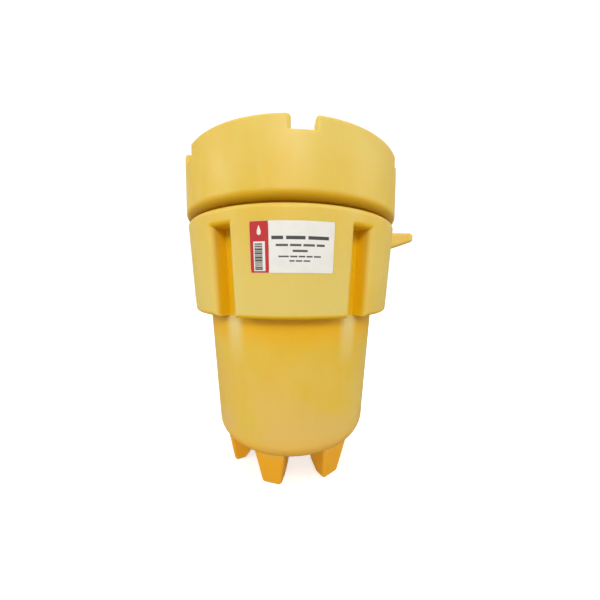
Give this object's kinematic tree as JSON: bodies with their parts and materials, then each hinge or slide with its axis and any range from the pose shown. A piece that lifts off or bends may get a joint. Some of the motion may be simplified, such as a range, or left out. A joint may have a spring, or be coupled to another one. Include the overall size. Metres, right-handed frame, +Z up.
{
  "type": "overpack salvage drum",
  "caption": "Wheeled plastic overpack drum: screw lid with notched rim, wide collar with strap channels, tapered body on legs, side grips, rear axle and wheels.",
  "frame": {"origin": "on the drum's axis at the ground, under the middle of the base", "axes": "+Z up along the drum's axis, -Y to the front leg, +Y to the wheels, X along the axle"},
  "size_m": [0.9258, 0.763, 1.067],
  "materials": {
    "drum_plastic": "satin, rotomoulded polyethylene",
    "lid_plastic": "satin, rotomoulded polyethylene",
    "gasket_rubber": "matt foam rubber",
    "label_film": "printed vinyl film",
    "plated_steel": "zinc plated",
    "hub_plastic": "satin, moulded polypropylene",
    "tyre_rubber": "matt",
    "bush_nylon": "satin nylon"
  },
  "bodies": {
    "drum": {"drum_body": "drum_plastic", "front_label": "label_film", "axle": "plated_steel", "left_inner_washer": "plated_steel", "left_outer_washer": "plated_steel", "left_axle_cap": "plated_steel", "right_inner_washer": "plated_steel", "right_outer_washer": "plated_steel", "right_axle_cap": "plated_steel"},
    "lid_seal": {"lid_gasket": "gasket_rubber"},
    "lid": {"lid": "lid_plastic"},
    "left_wheel": {"left_wheel_hub": "hub_plastic", "left_tyre": "tyre_rubber", "left_inner_bush": "bush_nylon", "left_outer_bush": "bush_nylon"},
    "right_wheel": {"right_wheel_hub": "hub_plastic", "right_tyre": "tyre_rubber", "right_inner_bush": "bush_nylon", "right_outer_bush": "bush_nylon"}
  },
  "joints": [
    {"name": "lid_lift", "type": "slide", "parent": "drum", "child": "lid_seal", "axis": [0, 0, 1], "range_m": [0, 0.2001]},
    {"name": "lid_turn", "type": "hinge", "parent": "lid_seal", "child": "lid", "pos_m": [0, 0, 0.94], "axis": [0, 0, 1], "range_deg": [0, 1440]},
    {"name": "left_wheel_spin", "type": "hinge", "parent": "drum", "child": "left_wheel", "pos_m": [-0.1725, 0.3, 0.08], "axis": [1, 0, 0], "continuous": true},
    {"name": "right_wheel_spin", "type": "hinge", "parent": "drum", "child": "right_wheel", "pos_m": [0.1725, 0.3, 0.08], "axis": [1, 0, 0], "continuous": true}
  ],
  "couplings": [
    {"joint": "lid_lift", "follows": "lid_turn", "m_per_rad": 0.0079577}
  ]
}
